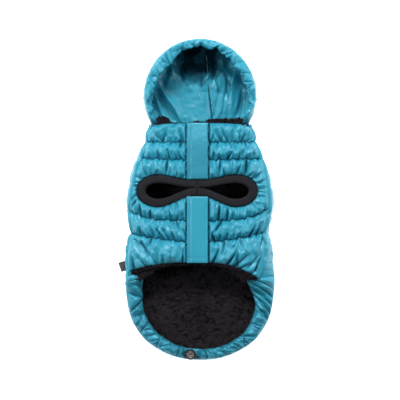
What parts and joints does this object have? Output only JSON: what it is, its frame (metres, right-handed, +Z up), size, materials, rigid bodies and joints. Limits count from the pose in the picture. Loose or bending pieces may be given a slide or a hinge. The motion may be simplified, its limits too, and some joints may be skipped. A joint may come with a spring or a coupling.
{
  "type": "dog winter coat",
  "caption": "Quilted hooded winter coat for a small dog, laid on its back, belly side up, with rib-bound leg holes and a gathered hem.",
  "frame": {"origin": "on the surface the coat lies on, under the middle of its length and width", "axes": "+Y from the hem to the hood along the back, +Z up from the surface to the belly side, +X to the right seen from above with the hood at the top"},
  "size_m": [0.2201, 0.4534, 0.0576],
  "materials": {
    "shell": "shiny woven nylon, teal blue",
    "fleece": "black curly pile fleece, matt",
    "rib": "black rib knit, matt",
    "ribbon": "black woven ribbon, half matt",
    "lock": "black moulded plastic",
    "badge": "dark nickel, ringed"
  },
  "bodies": {
    "root": {"back_panel": "shell", "front_left": "shell", "front_right": "shell", "hood_left": "shell", "hood_right": "shell", "hood_rim": "shell", "flap_upper": "shell", "flap_lower": "shell", "hem": "shell", "back_lining": "fleece", "belly_lining_left": "fleece", "belly_lining_right": "fleece", "neck_lining": "fleece", "leg_binding_left": "rib", "leg_binding_right": "rib", "label_tab": "ribbon", "cord_lock": "lock", "cord_lock_badge": "badge"}
  },
  "joints": []
}
